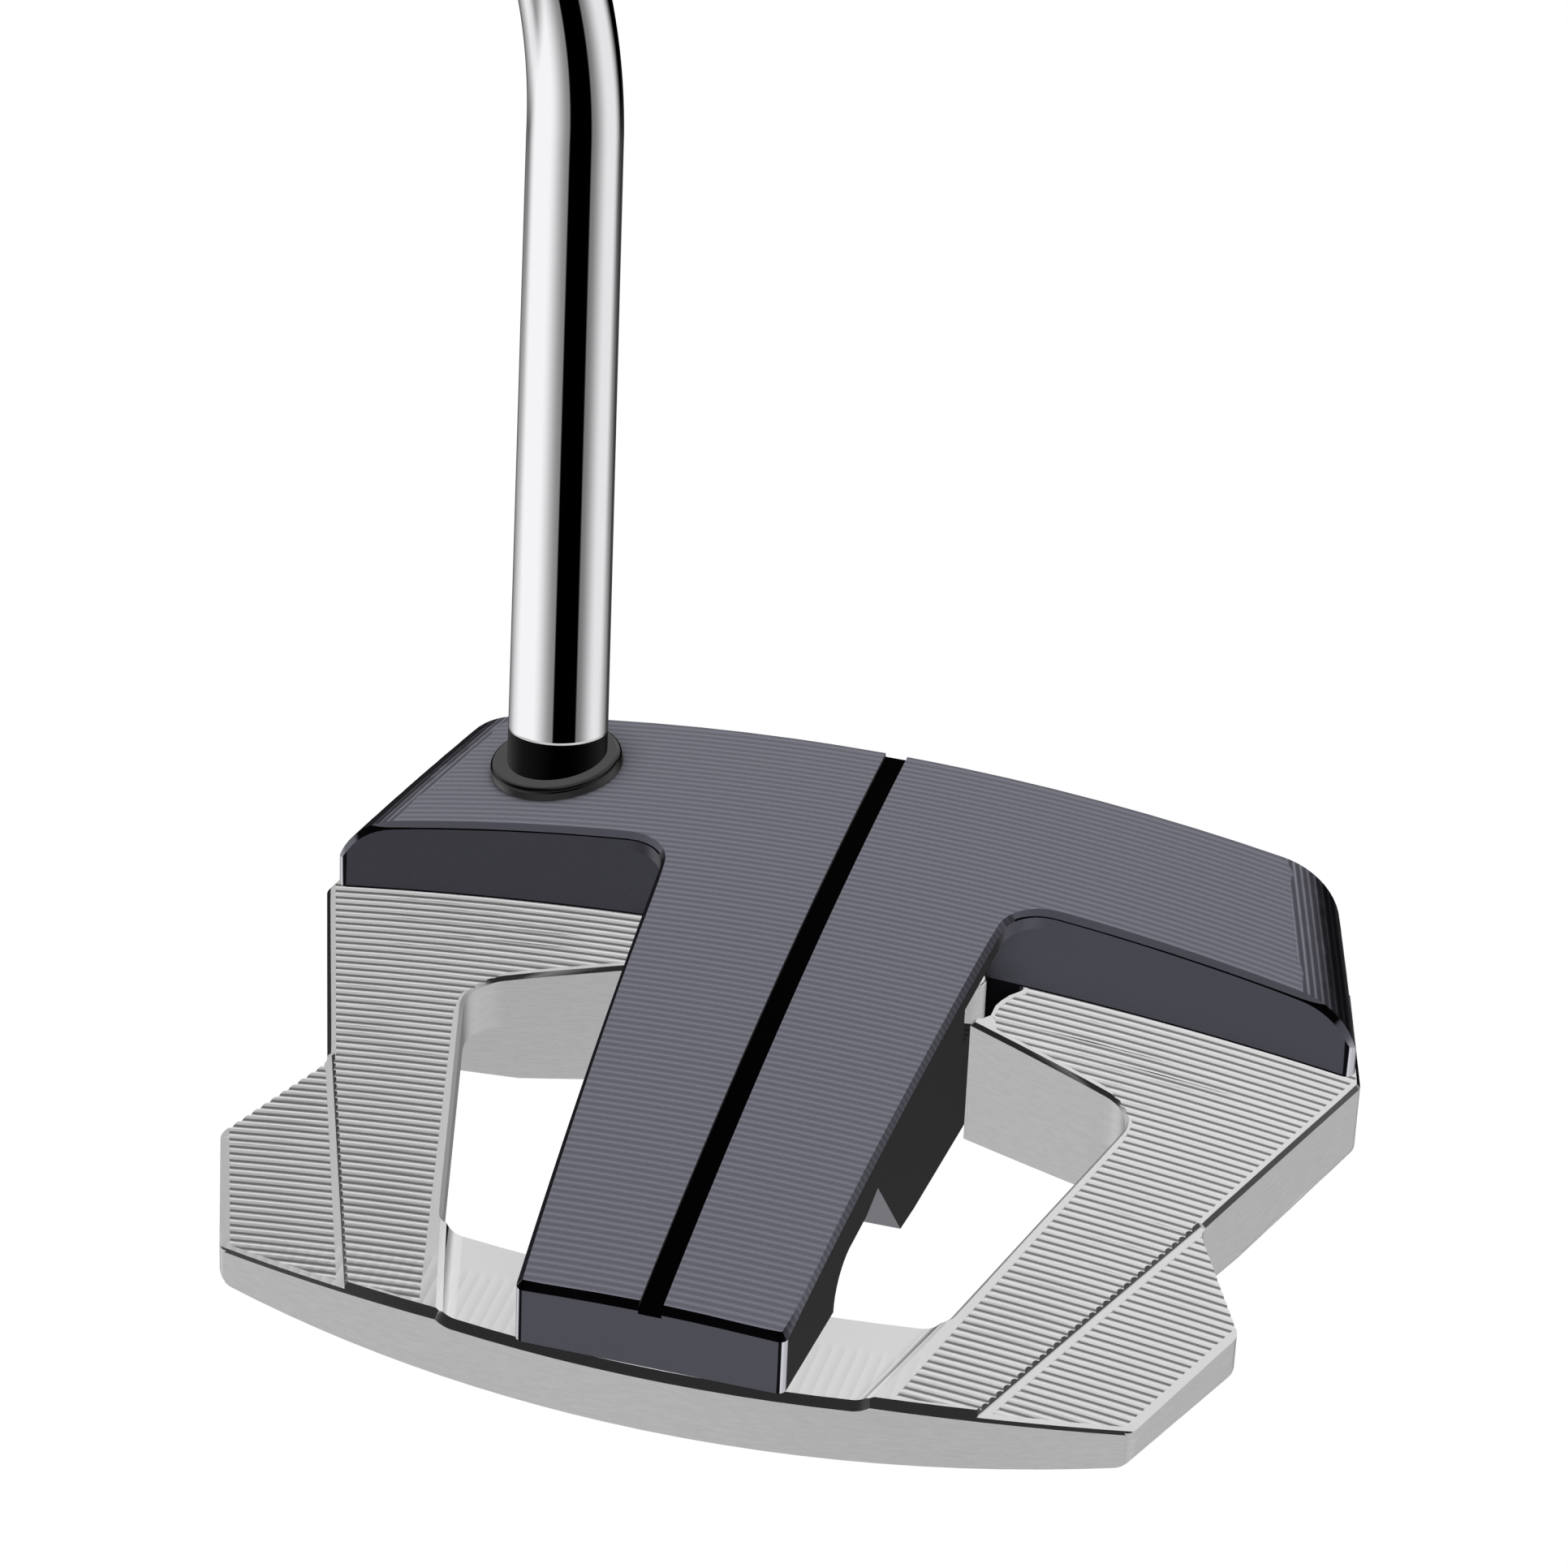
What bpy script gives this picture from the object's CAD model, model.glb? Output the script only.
import math

import bpy
from mathutils import Matrix, Vector


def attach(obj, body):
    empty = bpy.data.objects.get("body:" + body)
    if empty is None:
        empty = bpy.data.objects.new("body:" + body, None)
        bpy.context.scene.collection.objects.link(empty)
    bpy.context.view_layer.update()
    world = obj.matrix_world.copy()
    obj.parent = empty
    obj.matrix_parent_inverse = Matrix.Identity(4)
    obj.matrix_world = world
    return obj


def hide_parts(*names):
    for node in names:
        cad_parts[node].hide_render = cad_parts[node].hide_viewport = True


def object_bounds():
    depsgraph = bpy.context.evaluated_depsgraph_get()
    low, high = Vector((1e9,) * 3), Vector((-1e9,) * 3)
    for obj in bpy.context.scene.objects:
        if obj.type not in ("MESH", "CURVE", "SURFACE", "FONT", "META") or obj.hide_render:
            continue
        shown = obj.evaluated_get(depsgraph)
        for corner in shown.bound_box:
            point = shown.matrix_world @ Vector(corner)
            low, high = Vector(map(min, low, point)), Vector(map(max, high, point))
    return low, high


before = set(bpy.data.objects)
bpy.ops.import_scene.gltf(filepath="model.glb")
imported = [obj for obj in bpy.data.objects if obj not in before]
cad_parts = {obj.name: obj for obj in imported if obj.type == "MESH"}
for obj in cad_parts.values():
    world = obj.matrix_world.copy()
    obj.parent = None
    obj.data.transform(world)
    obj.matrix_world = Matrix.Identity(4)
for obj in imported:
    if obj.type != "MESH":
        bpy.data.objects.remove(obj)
cad_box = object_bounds()

MM = 0.001

# ---- how the club is looked at ---------------------------------------------------------------
AZIMUTH = 14.467          # degrees round the club from straight behind it, towards the toe
ELEVATION = 32.588
ROLL = 2.536
AIM = Vector((-0.0040, 0.0016, 0.0353))
DISTANCE = 0.60
LENS = 152.99
SENSOR = 36.0
NEAREST = 0.01            # metres from the lens where the view starts

# ---- the studio --------------------------------------------------------------------------------
# Each band of the studio is a ring of soft panels and black flags round the club: degrees of azimuth
# (0 straight behind the club, 90 off the toe), and the panel's brightness there.
TABLE_RING = ((-150, 0.05), (-118, 0.5), (-98, 0.9), (-82, 0.8), (-66, 0.30), (-45, 0.40), (-14, 0.76),
              (20, 0.85), (38, 1.1), (62, 1.1), (80, 0.7), (110, 0.65), (130, 0.55), (160, 0.05))
LOW_SKY_RING = ((-180, 0.95), (-120, 0.9), (-95, 0.3), (-80, 0.06), (-42, 0.06), (-28, 0.38), (40, 0.38),
                (80, 0.4), (108, 0.06), (148, 0.06), (162, 0.85), (180, 0.95))
FLAG_RING = ((-180, 0.95), (-125, 0.9), (-98, 0.02), (62, 0.02), (90, 0.5), (120, 0.9), (180, 0.95))
ROOF = 1.0
UNDER = 0.60              # what the table sends back up from straight below
# The soft boxes at the club's sides: the feathered outer edge, where it is full from and to, and where a
# black flag starts to cut it off, in degrees of azimuth, then its brightness where full and beside the flag.
HEEL_BOX = (-128, -85, -45, 3, 1.0, 0.25)
TOE_BOX = (152, 120, 102, 57, 0.85, 0.2)
FLAG_EDGE = 3             # degrees that the flag's edge is soft over
# The heights that each band comes in between, in degrees over the horizon.
TABLE_FROM = (-47.0, -38.0)
BOXES_FROM = (-28.0, -22.0)
LOW_SKY_FROM = (2.0, 14.0)
FLAGS_FROM = (33.0, 39.0)
ROOF_FROM = (65.0, 81.0)
SHEET_HALF = 3.0          # half of the white sheet's side, in metres
SHEET_GAP = 0.1           # millimetres from the sole down to the sheet

# ---- real sizes of the finishes, in millimetres ------------------------------------------------
CROWN_LINE = 0.785        # the finishing cutter's step over the crown
SHOULDER_LINE = 0.70      # and its step round the crossbar's ends
WALL_LINE = 0.22          # side-milled walls, drawn twice as coarse as they are so that they show
REAR_FLOOR_LINE = 1.1     # the ball cutter's step over the rear bar's floor
GRAIN = 0.12              # the fine grain of the anodised skin and of milled steel
GRIP_RIB = 4.0            # ribs moulded across the grip
PEBBLE = 0.5              # and the pebble between them
ORANGE_PEEL = 6.0         # the slow waves in polished chrome
PAINT_GRAIN = 0.25
TURNED_GRAIN = 0.2
# Depths of the same patterns.
CUSP_DEPTH = 0.012
CROWN_GRAIN_DEPTH = 0.004
REAR_CUSP_DEPTH = 0.02
STEEL_GRAIN_DEPTH = 0.003
PEEL_DEPTH = 0.002
PAINT_DEPTH = 0.004
RIB_DEPTH = 0.5
PEBBLE_DEPTH = 0.05

# ---- where the finishes change, in millimetres as in the part ----------------------------------
END_TAPER = 0.299         # the crossbar's ends close in by this share of the way to the face
END_X = 36.0              # the steps round its ends start this far from the middle
CORNER_X = 44.0           # and its outer corners this far
BAR_Y = 4.0               # walls in front of this are the crossbar's
CHAMFER_Y = 5.0           # and so are the chamfers in front of this
REAR_WALL_Y = (8.0, 9.0)  # the crossbar's rear wall lies between these
FOOT_Y = -45.0            # walls behind this are the spine's rear end
TONE_X = 25.0             # the rear wall's tone runs from this far at the heel to as far at the toe
PANEL_H = 13.8            # the panels' height at the rear wall, in the middle
PANEL_CAMBER_R = 316.0
SEAM_H = 0.34             # how high the black seam stands over the panels
CHAMFER_H = 22.455        # the height of the rear chamfer's lower edge, in the middle
CROWN_CAMBER_R = 200.0
LOW_EDGE_H = 0.10         # how high the black line stands on the chamfer
REAR_FLOOR_Y = (-43.0, -44.0)   # the rear bar's floor starts between these
HOLLOW = 7.0              # what lies closer than this to another face darkens
LAND_LEAN = -0.35         # how far the flat tops are shaded as leaning along Y, as a part of 1

# ---- the shaft's own sizes, as in the part, in millimetres -------------------------------------
SEAT = Vector((-30.7, 19.3, 21.006))
LOWER = Vector((-0.0482, 0.1793, 0.9826)).normalized()
LIE = math.radians(70.0)
UPPER = Vector((-math.cos(LIE), 0.0, math.sin(LIE)))
FOOT_START = 3.9          # the ferrule's top, along the lower part
BEND_START = 62.0
BEND_R = 60.0
SHAFT_R = 4.7
NECK_R = 4.45
OVAL = (3.98, 4.62)       # half axes of the flattened bend, in and across its plane
OVAL_LEN = 22.0
RUN_GAP = 1.0             # from the oval's end to the next ring of the tube
TIP_LEN = 150.0
STEP_LEN = 42.0
STEP_RISE = 1.5           # length that a step widens over
STEP_RADII = (5.05, 5.4, 5.75, 6.1, 6.45, 6.8, 7.15, 7.5)
SHAFT_TOP = 749.0         # inside the grip's cap, along the upper part
# Rings close to an edge keep the shading flat right up to it.
EDGE_RING = 0.4
TOP_RING = 0.3
LOWER_SHARES = (0.0, 0.004, 0.25, 0.5, 0.75, 0.98)
OVAL_SHARES = (0.05, 0.25, 0.5, 0.75, 1.0)
BEND_RINGS = 40
ROUND = 96                # points round the tube


def srgb(text):
    """An sRGB hex colour as linear red, green, blue and alpha."""
    channels = [int(text[i:i + 2], 16) / 255 for i in (1, 3, 5)]
    linear = [c / 12.92 if c <= 0.04045 else ((c + 0.055) / 1.055) ** 2.4 for c in channels]
    return (*linear, 1.0)


def add(tree, kind, inputs=None, **settings):
    """One node with its settings. Each input gets a plain value, an output, or a node's first output."""
    node = tree.nodes.new("ShaderNode" + kind)
    for name, value in settings.items():
        setattr(node, name, value)
    for key, value in (inputs or {}).items():
        if isinstance(value, bpy.types.Node):
            value = next(socket for socket in value.outputs if socket.enabled)
        if isinstance(value, bpy.types.NodeSocket):
            tree.links.new(value, node.inputs[key])
        else:
            node.inputs[key].default_value = value
    return node


def laid_over(tree, colour, coats):
    """The colour with each coat laid over the last one, as far as its mask is on."""
    for mask, coat in coats:
        colour = add(tree, "Mix", {0: mask, 6: colour, 7: coat}, data_type="RGBA")
    return colour


def where_all(tree, *masks):
    """A mask that is on where all of these are. A plain number among them thins it."""
    joint = masks[0]
    for mask in masks[1:]:
        joint = add(tree, "Math", {0: joint, 1: mask}, operation="MULTIPLY")
    return joint


def either(tree, *masks):
    """A mask that is on where any of these is."""
    joint = masks[0]
    for mask in masks[1:]:
        joint = add(tree, "Math", {0: joint, 1: mask}, operation="MAXIMUM")
    return joint


# ---- camera ----------------------------------------------------------------------------------
def make_camera():
    """A long lens from behind and above the head, rolled a little."""
    az, el, roll = (math.radians(a) for a in (AZIMUTH, ELEVATION, ROLL))
    ahead = Vector((-math.sin(az) * math.cos(el), math.cos(az) * math.cos(el), -math.sin(el)))
    level = Vector((math.cos(az), math.sin(az), 0))
    upright = level.cross(ahead)
    right = math.cos(roll) * level + math.sin(roll) * upright
    top = -math.sin(roll) * level + math.cos(roll) * upright
    camera = bpy.data.objects.new("camera", bpy.data.cameras.new("camera"))
    camera.data.lens = LENS
    camera.data.sensor_width = SENSOR
    camera.data.clip_start = NEAREST
    stand = Matrix.Translation(AIM - DISTANCE * ahead)
    camera.matrix_world = stand @ Matrix((right, top, -ahead)).transposed().to_4x4()
    bpy.context.scene.collection.objects.link(camera)
    bpy.context.scene.camera = camera


# ---- studio ----------------------------------------------------------------------------------
def soft_box(outer, full_from, full_to, flag, level, beside_flag):
    """A soft box's stops round the studio, from its feathered edge to the dark behind its flag."""
    behind = flag + math.copysign(FLAG_EDGE, flag - outer)
    return [(outer, 0.0), (full_from, level), (full_to, level), (flag, beside_flag), (behind, 0.0)]


def ring(tree, azimuth, stops, fade="LINEAR"):
    """Brightness round one band of the studio."""
    share = add(tree, "MapRange", {"Value": azimuth, "From Min": -180.0, "From Max": 180.0})
    ramp = add(tree, "ValToRGB", {"Fac": share})
    ramp.color_ramp.interpolation = fade
    elements = ramp.color_ramp.elements
    elements.remove(elements[1])
    elements[0].position = 0.0
    elements[0].color = (stops[0][1],) * 3 + (1.0,)
    for degrees, level in stops:
        elements.new((degrees + 180) / 360).color = (level, level, level, 1.0)
    return ramp


def make_studio():
    """A photographer's tent as the world: a pale table below, a soft box off the heel and one off the toe
    with black flags between them, a sky with more flags, and a bright far wall and roof. What the camera sees
    directly is plain white."""
    world = bpy.data.worlds.new("studio")
    bpy.context.scene.world = world
    world.use_nodes = True
    tree = world.node_tree
    tree.nodes.clear()
    way = add(tree, "SeparateXYZ", {0: add(tree, "TexCoord").outputs["Generated"]}).outputs
    back = add(tree, "Math", {0: way["Y"], 1: -1.0}, operation="MULTIPLY")
    round_club = add(tree, "Math", {0: way["X"], 1: back}, operation="ARCTAN2")
    azimuth = add(tree, "Math", {0: round_club}, operation="DEGREES")
    rise = add(tree, "Math", {0: way["Z"]}, operation="ARCSINE")
    height = add(tree, "Math", {0: rise}, operation="DEGREES")
    boxes = sorted(soft_box(*HEEL_BOX) + soft_box(*TOE_BOX))
    bands = ((TABLE_FROM, ring(tree, azimuth, TABLE_RING)), (BOXES_FROM, ring(tree, azimuth, boxes, "EASE")),
             (LOW_SKY_FROM, ring(tree, azimuth, LOW_SKY_RING)), (FLAGS_FROM, ring(tree, azimuth, FLAG_RING)),
             (ROOF_FROM, (ROOF, ROOF, ROOF, 1.0)))
    coats = [(add(tree, "MapRange", {"Value": height, "From Min": low, "From Max": high},
                  interpolation_type="SMOOTHSTEP"), band) for (low, high), band in bands]
    light = laid_over(tree, (UNDER, UNDER, UNDER, 1.0), coats)
    tent = add(tree, "Background", {"Color": light, "Strength": 1.0})
    paper = add(tree, "Background", {"Color": (1, 1, 1, 1), "Strength": 1.0})
    seen = add(tree, "LightPath").outputs["Is Camera Ray"]
    add(tree, "OutputWorld", {"Surface": add(tree, "MixShader", {0: seen, 1: tent, 2: paper})})


def make_floor():
    """The white sheet that the club stands on. It shows white from above and isn't there from below."""
    low, high = cad_box
    middle = (low + high) / 2
    corners = [(middle.x + sx * SHEET_HALF, middle.y + sy * SHEET_HALF, low.z - SHEET_GAP * MM)
               for sx, sy in ((-1, -1), (1, -1), (1, 1), (-1, 1))]
    mesh = bpy.data.meshes.new("floor")
    mesh.from_pydata(corners, [], [(0, 1, 2, 3)])
    floor = bpy.data.objects.new("floor", mesh)
    bpy.context.scene.collection.objects.link(floor)
    paper = bpy.data.materials.new("white_paper")
    paper.use_nodes = True
    tree = paper.node_tree
    tree.nodes.clear()
    white = add(tree, "Emission", {"Color": (1, 1, 1, 1), "Strength": 1.0})
    clear = add(tree, "BsdfTransparent")
    beneath = add(tree, "NewGeometry").outputs["Backfacing"]
    add(tree, "OutputMaterial", {"Surface": add(tree, "MixShader", {0: beneath, 1: white, 2: clear})})
    mesh.materials.append(paper)
    floor.visible_glossy = False
    floor.visible_diffuse = False
    floor.visible_shadow = False
    floor.visible_transmission = False


# ---- the shaft, smooth through its bend --------------------------------------------------------
def shaft_stations():
    """Centre, direction and half axes (in the bend's plane, across it) of each ring of the tube."""
    inward = (UPPER - UPPER.dot(LOWER) * LOWER).normalized()
    angle = LOWER.angle(UPPER)
    stations = []
    for share in LOWER_SHARES:
        t = FOOT_START + share * (BEND_START - FOOT_START)
        radius = SHAFT_R + share * (NECK_R - SHAFT_R)
        stations.append((SEAT + t * LOWER, LOWER, radius, radius))
    bend_in = SEAT + BEND_START * LOWER
    middle = bend_in + BEND_R * inward
    for i in range(BEND_RINGS + 1):
        share = i / BEND_RINGS
        turn = share * angle
        centre = middle - BEND_R * math.cos(turn) * inward + BEND_R * math.sin(turn) * LOWER
        along = math.cos(turn) * LOWER + math.sin(turn) * inward
        in_plane, across = (NECK_R + share * (half - NECK_R) for half in OVAL)
        stations.append((centre, along, in_plane, across))
    bend_out = stations[-1][0]
    for share in OVAL_SHARES:
        in_plane, across = (half + share * (SHAFT_R - half) for half in OVAL)
        stations.append((bend_out + share * OVAL_LEN * UPPER, UPPER, in_plane, across))
    profile = [(OVAL_LEN + RUN_GAP, SHAFT_R), (TIP_LEN - EDGE_RING, SHAFT_R), (TIP_LEN, SHAFT_R)]
    t = TIP_LEN
    for radius in STEP_RADII:
        widened = t + STEP_RISE
        t += STEP_LEN
        profile += [(place, radius) for place in (widened, widened + EDGE_RING, t - EDGE_RING, t)]
    profile[-2:] = [(SHAFT_TOP - TOP_RING, STEP_RADII[-1]), (SHAFT_TOP, STEP_RADII[-1])]
    return stations + [(bend_out + t * UPPER, UPPER, radius, radius) for t, radius in profile]


def make_shaft():
    """The chromed tube: a round foot, a bend that flattens it, a parallel run and the stepped upper part."""
    across = LOWER.cross(UPPER).normalized()
    points, faces = [], []
    stations = shaft_stations()
    for centre, along, in_plane, out_plane in stations:
        side = across.cross(along)
        for i in range(ROUND):
            turn = 2 * math.pi * i / ROUND
            rim = in_plane * math.cos(turn) * side + out_plane * math.sin(turn) * across
            points.append((centre + rim) * MM)
    for k in range(len(stations) - 1):
        for i in range(ROUND):
            j = (i + 1) % ROUND
            faces.append((k * ROUND + i, k * ROUND + j, (k + 1) * ROUND + j, (k + 1) * ROUND + i))
    faces.append(tuple(reversed(range(ROUND))))
    faces.append(tuple((len(stations) - 1) * ROUND + i for i in range(ROUND)))
    mesh = bpy.data.meshes.new("chromed_shaft")
    mesh.from_pydata(points, [], faces)
    mesh.polygons.foreach_set("use_smooth", [True] * (len(faces) - 2) + [False] * 2)
    tube = bpy.data.objects.new("chromed_shaft", mesh)
    bpy.context.scene.collection.objects.link(tube)
    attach(tube, "club")
    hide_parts("shaft")
    return tube


# ---- patterns ----------------------------------------------------------------------------------
def spot_on(tree):
    """Place on the piece, in millimetres."""
    place = add(tree, "TexCoord").outputs["Object"]
    return add(tree, "VectorMath", {0: place, "Scale": 1 / MM}, operation="SCALE")


def facing_of(tree):
    """How far a face leans along X, Y and Z, from -1 to 1."""
    return add(tree, "SeparateXYZ", {0: add(tree, "TexCoord").outputs["Normal"]}).outputs


def between(tree, value, low, high, soft):
    """1 between low and high, and 0 outside, over soft edges."""
    rises = add(tree, "MapRange", {"Value": value, "From Min": low - soft, "From Max": low},
                interpolation_type="SMOOTHSTEP")
    falls = add(tree, "MapRange", {"Value": value, "From Min": high + soft, "From Max": high},
                interpolation_type="SMOOTHSTEP")
    return where_all(tree, rises, falls)


def scallops(tree, along, pitch):
    """Height of the cusps that a ball cutter leaves, 0 at a valley and 1 at a cusp, one each pitch."""
    turn = add(tree, "Math", {0: along, 1: math.pi / pitch}, operation="MULTIPLY")
    wave = add(tree, "Math", {0: turn}, operation="SINE")
    depth = add(tree, "Math", {0: wave}, operation="ABSOLUTE")
    return add(tree, "Math", {0: 1.0, 1: depth}, operation="SUBTRACT")


def noise(tree, spot, size, stretch=(1.0, 1.0, 1.0)):
    """Fine noise with features of that size in millimetres, longer along a smaller stretch."""
    scaled = add(tree, "VectorMath", {0: spot, 1: stretch}, operation="MULTIPLY")
    return add(tree, "TexNoise", {"Vector": scaled, "Scale": 1 / size, "Detail": 2.0})


def swing(tree, pattern, plain, contrast):
    """How far a pattern is from its plain level, times a contrast."""
    off = add(tree, "Math", {0: pattern, 1: plain}, operation="SUBTRACT")
    return add(tree, "Math", {0: off, 1: contrast}, operation="MULTIPLY")


def over_camber(tree, place, middle_height, camber_r):
    """Height in millimetres over a skin that is cambered from heel to toe."""
    squared = add(tree, "Math", {0: place["X"], 1: place["X"]}, operation="MULTIPLY")
    fall = add(tree, "Math", {0: squared, 1: 2 * camber_r}, operation="DIVIDE")
    over_middle = add(tree, "Math", {0: place["Z"], 1: middle_height}, operation="SUBTRACT")
    return add(tree, "Math", {0: over_middle, 1: fall}, operation="ADD")


# ---- finishes --------------------------------------------------------------------------------
def new_finish(name):
    """An empty material and its nodes."""
    finish = bpy.data.materials.new(name)
    finish.use_nodes = True
    tree = finish.node_tree
    tree.nodes.clear()
    return finish, tree


def surface(tree, inputs):
    """The finish's one shader."""
    add(tree, "OutputMaterial", {"Surface": add(tree, "BsdfPrincipled", inputs)})


def crown_faces(tree, place, facing):
    """Masks for the crown's faces and edges, by where they lie and which way they face."""
    aside = add(tree, "Math", {0: facing["X"]}, operation="ABSOLUTE")
    up_or_down = add(tree, "Math", {0: facing["Z"]}, operation="ABSOLUTE")
    from_middle = add(tree, "Math", {0: place["X"]}, operation="ABSOLUTE")
    faces = {}
    for name, lean, off, on in (("aside", aside, 0.25, 0.28), ("sideways", aside, 0.8, 0.95),
                                ("upwards", facing["Z"], 0.2, 0.4), ("not_back", facing["Y"], -0.5, -0.3),
                                ("upright", up_or_down, 0.4, 0.2)):
        faces[name] = add(tree, "MapRange", {"Value": lean, "From Min": off, "From Max": on},
                          interpolation_type="SMOOTHSTEP")
    over_panel = over_camber(tree, place, PANEL_H, PANEL_CAMBER_R)
    over_chamfer = over_camber(tree, place, CHAMFER_H, CROWN_CAMBER_R)
    lies = {}
    for name, value, test, limit in (
            ("at_ends", from_middle, "GREATER_THAN", END_X),
            ("at_corners", from_middle, "GREATER_THAN", CORNER_X),
            ("on_bar", place["Y"], "GREATER_THAN", BAR_Y),
            ("on_bar_edge", place["Y"], "GREATER_THAN", CHAMFER_Y),
            ("behind_bar", place["Y"], "LESS_THAN", BAR_Y),
            ("at_foot", place["Y"], "LESS_THAN", FOOT_Y),
            ("back", facing["Y"], "LESS_THAN", -0.45),
            ("by_seam", over_panel, "LESS_THAN", SEAM_H),
            ("low_down", over_chamfer, "LESS_THAN", LOW_EDGE_H)):
        lies[name] = add(tree, "Math", {0: value, 1: limit}, operation=test)
    upright = faces["upright"]
    chamfer = where_all(tree, between(tree, facing["Z"], 0.55, 0.8, 0.05), lies["back"])
    corner = where_all(tree, upright, either(tree, lies["at_corners"], lies["at_foot"]))
    return {"end": where_all(tree, faces["aside"], lies["at_ends"]),
            "top": where_all(tree, faces["upwards"], faces["not_back"]),
            "rear_wall": where_all(tree, upright, lies["on_bar"]),
            "foot_wall": where_all(tree, upright, lies["at_foot"]),
            "side_wall": where_all(tree, faces["sideways"], lies["behind_bar"], upright),
            "worn_chamfer": where_all(tree, chamfer, lies["on_bar_edge"]),
            "chamfer_line": where_all(tree, chamfer, lies["low_down"]),
            "seam": where_all(tree, lies["by_seam"], between(tree, place["Y"], *REAR_WALL_Y, 0.2)),
            "rubbed": where_all(tree, between(tree, aside, 0.5, 0.94, 0.05), corner),
            "beside_rubbed": where_all(tree, between(tree, aside, 0.16, 0.42, 0.05), corner)}


def anodised_aluminium():
    """Milled aluminium, anodised dark blue-grey: the dye darkens the metal. The cutter's fine cusps show as
    lines parallel to the face on top and as steps round the crossbar's ends, and the walls have a fine even
    grain. The upright corners are rubbed bright, and the seam over the steel is a black line. The tones of
    the walls and of the rear chamfer are painted in by place, as shading that the studio doesn't give."""
    finish, tree = new_finish("anodised_aluminium_milled")
    spot = spot_on(tree)
    place = add(tree, "SeparateXYZ", {0: spot}).outputs
    mask = crown_faces(tree, place, facing_of(tree))
    top = mask["top"]
    lines = scallops(tree, place["Y"], CROWN_LINE)
    from_middle = add(tree, "Math", {0: place["X"]}, operation="ABSOLUTE")
    round_end = add(tree, "Math", {0: place["Y"], 1: END_TAPER, 2: from_middle}, operation="MULTIPLY_ADD")
    steps = scallops(tree, round_end, SHOULDER_LINE)
    grain = noise(tree, spot, GRAIN)
    # the tone runs from 0, dark, to 1, light
    line_tone = swing(tree, lines, 0.36, 0.46)
    step_tone = swing(tree, steps, 0.55, 1.3)
    cut = add(tree, "Mix", {0: mask["end"], 2: line_tone, 3: step_tone})
    tone = add(tree, "Math", {0: 0.5, 1: where_all(tree, cut, top)}, operation="ADD")
    tone = add(tree, "Math", {0: tone, 1: swing(tree, grain, 0.5, 0.35)}, operation="ADD")
    to_toe = add(tree, "MapRange", {"Value": place["X"], "From Min": -TONE_X, "From Max": TONE_X},
                 interpolation_type="SMOOTHSTEP")
    rear_tone = laid_over(tree, srgb("#2e2e34"), [(to_toe, srgb("#4c4c55"))])
    # recesses and the crown round the ferrule darken, the walls sooner than the top
    open_sky = add(tree, "AmbientOcclusion", {"Distance": HOLLOW * MM}, samples=8).outputs["AO"]
    shut = add(tree, "Mix", {0: top, 2: 0.12, 3: 0.35})
    wide = add(tree, "Mix", {0: top, 2: 0.62, 3: 0.92})
    hollow = add(tree, "MapRange", {"Value": open_sky, "From Min": wide, "From Max": shut},
                 interpolation_type="SMOOTHSTEP")
    black = either(tree, mask["seam"], mask["chamfer_line"], mask["beside_rubbed"])
    colour = laid_over(tree, srgb("#494953"), [
        (tone, srgb("#898995")), (where_all(tree, mask["rear_wall"], 0.7), rear_tone),
        (where_all(tree, mask["foot_wall"], 0.35), srgb("#33333a")), (mask["side_wall"], srgb("#17171b")),
        (mask["worn_chamfer"], srgb("#9c9ca8")), (black, srgb("#121215")), (hollow, srgb("#08080a")),
        (mask["rubbed"], srgb("#dcdce4"))])
    satin = add(tree, "Mix", {0: mask["worn_chamfer"], 2: 0.30, 3: 0.85})
    cusps = where_all(tree, add(tree, "Mix", {0: mask["end"], 2: lines, 3: steps}), top)
    bump = add(tree, "Bump", {"Height": cusps, "Distance": CUSP_DEPTH * MM})
    bump = add(tree, "Bump", {"Height": grain, "Distance": CROWN_GRAIN_DEPTH * MM, "Normal": bump})
    surface(tree, {"Base Color": colour, "Metallic": 1.0, "Roughness": satin, "Normal": bump})
    return finish


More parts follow.
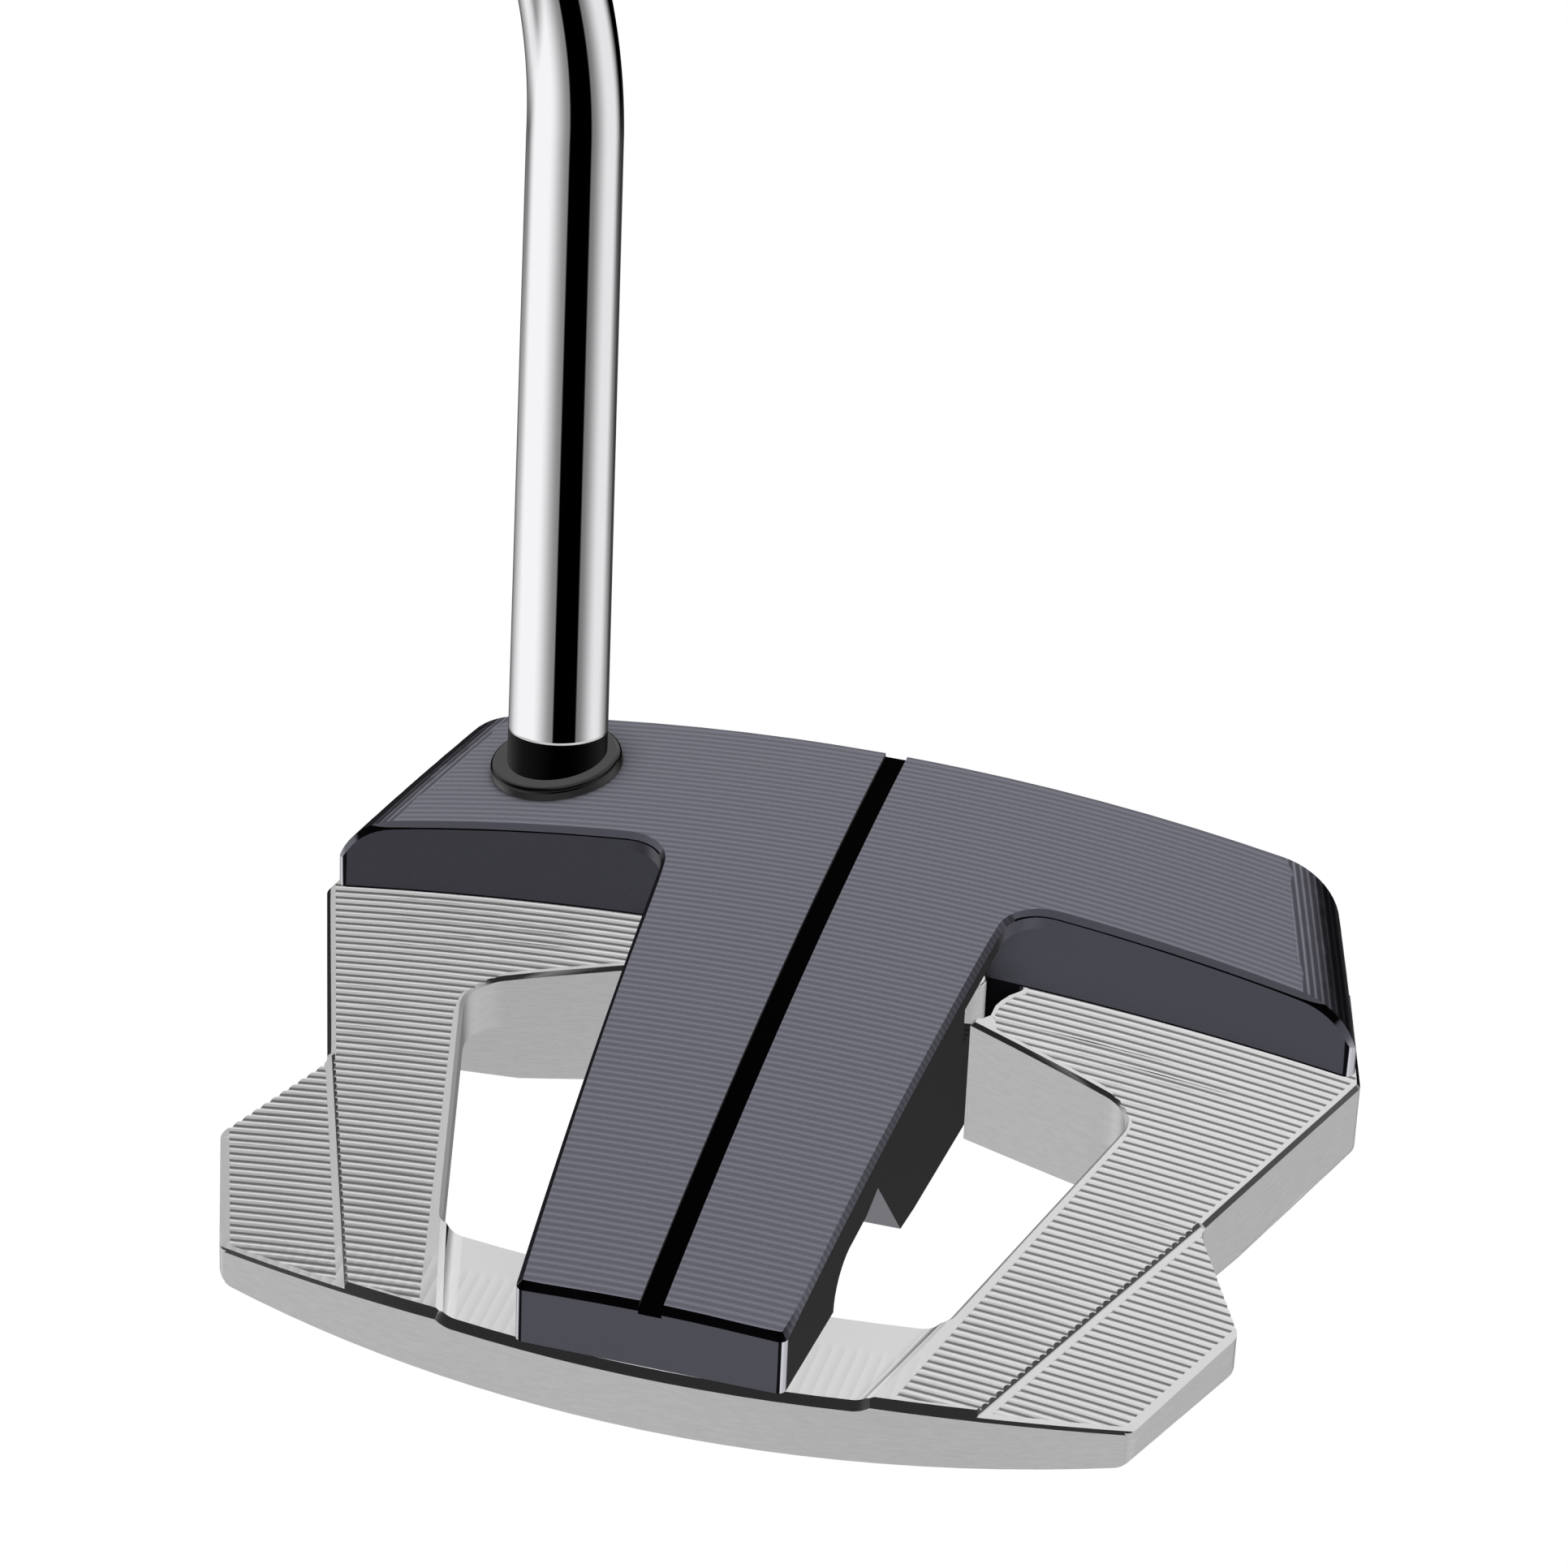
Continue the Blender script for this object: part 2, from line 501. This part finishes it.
def milled_stainless():
    """Stainless steel straight from the mill: bright, with cutter lines along the rear bar's floor and a fine
    even grain with faint level lines on the walls."""
    finish, tree = new_finish("stainless_steel_milled")
    spot = spot_on(tree)
    place = add(tree, "SeparateXYZ", {0: spot}).outputs
    facing = facing_of(tree)
    up_or_down = add(tree, "Math", {0: facing["Z"]}, operation="ABSOLUTE")
    faces = {}
    for name, value, off, on in (("wall", up_or_down, 0.5, 0.2), ("above_chamfers", facing["Z"], 0.71, 0.725),
                                 ("flat", facing["Z"], 0.9, 0.98), ("land", facing["Z"], 0.93, 0.96),
                                 ("rear", place["Y"], *REAR_FLOOR_Y)):
        faces[name] = add(tree, "MapRange", {"Value": value, "From Min": off, "From Max": on},
                          interpolation_type="SMOOTHSTEP")
    level_lines = noise(tree, spot, WALL_LINE, (0.15, 0.15, 1.0))
    grain = noise(tree, spot, GRAIN)
    wall_tone = add(tree, "Mix", {0: 0.4, 2: level_lines, 3: grain})
    top = laid_over(tree, srgb("#f3f3f3"), [(grain, srgb("#fbfbfb"))])
    side = laid_over(tree, srgb("#d4d4d4"), [(wall_tone, srgb("#f4f4f4"))])
    colour = laid_over(tree, top, [(faces["wall"], side)])
    satin = add(tree, "Mix", {0: faces["above_chamfers"], 2: 0.16, 3: 0.45})
    satin = add(tree, "Mix", {0: faces["wall"], 2: satin, 3: 0.48})
    cusps = where_all(tree, scallops(tree, place["X"], REAR_FLOOR_LINE), faces["flat"], faces["rear"])
    bump = add(tree, "Bump", {"Height": cusps, "Distance": REAR_CUSP_DEPTH * MM})
    bump = add(tree, "Bump", {"Height": grain, "Distance": STEEL_GRAIN_DEPTH * MM, "Normal": bump})
    # flat tops are shaded as if they leaned to the rear, to mirror the far wall over the crossbar
    lean = add(tree, "CombineXYZ", {"Y": where_all(tree, faces["land"], LAND_LEAN)})
    leaning = add(tree, "VectorMath", {0: bump, 1: lean}, operation="ADD")
    leaning = add(tree, "VectorMath", {0: leaning}, operation="NORMALIZE")
    surface(tree, {"Base Color": colour, "Metallic": 1.0, "Roughness": satin, "Normal": leaning})
    return finish


def chrome_plate():
    """Polished chromium over steel: a clean mirror with the slightest orange peel."""
    finish, tree = new_finish("chrome_plate_polished")
    waves = noise(tree, spot_on(tree), ORANGE_PEEL)
    peel = add(tree, "Bump", {"Height": waves, "Distance": PEEL_DEPTH * MM})
    surface(tree, {"Base Color": srgb("#f4f4f6"), "Metallic": 1.0, "Roughness": 0.03, "Normal": peel})
    return finish


def black_paint():
    """Matt black paint filled into the sight line: it gives the eye no light back."""
    finish, tree = new_finish("paint_fill_matt_black")
    grain = noise(tree, spot_on(tree), PAINT_GRAIN)
    bump = add(tree, "Bump", {"Height": grain, "Distance": PAINT_DEPTH * MM})
    surface(tree, {"Base Color": srgb("#020202"), "Specular IOR Level": 0.02, "Roughness": 0.9,
                   "Normal": bump})
    return finish


def black_ferrule(name, gloss):
    """Moulded black plastic: the ring is polished on its rounded rim, the collar stays duller."""
    finish, tree = new_finish(name)
    surface(tree, {"Base Color": srgb("#020202"), "Specular IOR Level": gloss, "Roughness": 0.22})
    return finish


def grip_rubber():
    """Moulded black rubber, dull, with a fine pebble and shallow ribs across the grip."""
    finish, tree = new_finish("rubber_moulded_black")
    spot = spot_on(tree)
    pebble = noise(tree, spot, PEBBLE)
    along = add(tree, "VectorMath", {0: spot, 1: tuple(UPPER)}, operation="DOT_PRODUCT")
    colour = laid_over(tree, srgb("#131314"), [(pebble, srgb("#262628"))])
    bump = add(tree, "Bump", {"Height": scallops(tree, along, GRIP_RIB), "Distance": RIB_DEPTH * MM})
    bump = add(tree, "Bump", {"Height": pebble, "Distance": PEBBLE_DEPTH * MM, "Normal": bump})
    surface(tree, {"Base Color": colour, "Roughness": 0.7, "Normal": bump})
    return finish


def turned_steel():
    """Turned steel of the weights and screws: satin, with a fine even grain."""
    finish, tree = new_finish("steel_turned")
    grain = noise(tree, spot_on(tree), TURNED_GRAIN)
    bump = add(tree, "Bump", {"Height": grain, "Distance": STEEL_GRAIN_DEPTH * MM})
    surface(tree, {"Base Color": srgb("#a4a4a6"), "Metallic": 1.0, "Roughness": 0.28, "Normal": bump})
    return finish


def dress(tube):
    """Each piece's finish."""
    anodised, stainless, chrome = anodised_aluminium(), milled_stainless(), chrome_plate()
    paint, rubber, turned = black_paint(), grip_rubber(), turned_steel()
    ring_black = black_ferrule("ferrule_ring_polished", 0.45)
    collar_black = black_ferrule("ferrule_collar_black", 0.05)
    wear = {"crown_spine": anodised, "wing_frame": stainless, "shaft": chrome, "sightline_fill": paint,
            "ferrule_ring": ring_black, "ferrule_collar": collar_black, "grip": rubber, "grip_cap": rubber,
            "grip_tape": rubber, "heel_pad": rubber, "toe_pad": rubber, "locating_dowels": stainless}
    for name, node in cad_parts.items():
        node.data.materials.clear()
        node.data.materials.append(wear.get(name, turned))
    tube.data.materials.append(chrome)
    # each finish mirrors the studio alone, and no piece shows in another
    for piece in (tube, *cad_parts.values()):
        piece.visible_glossy = False
    for name in ("crown_spine", "wing_frame"):
        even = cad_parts[name].modifiers.new("even_normals", "WEIGHTED_NORMAL")
        even.keep_sharp = True


make_camera()
make_studio()
make_floor()
dress(make_shaft())
bpy.context.scene.view_settings.view_transform = "Standard"
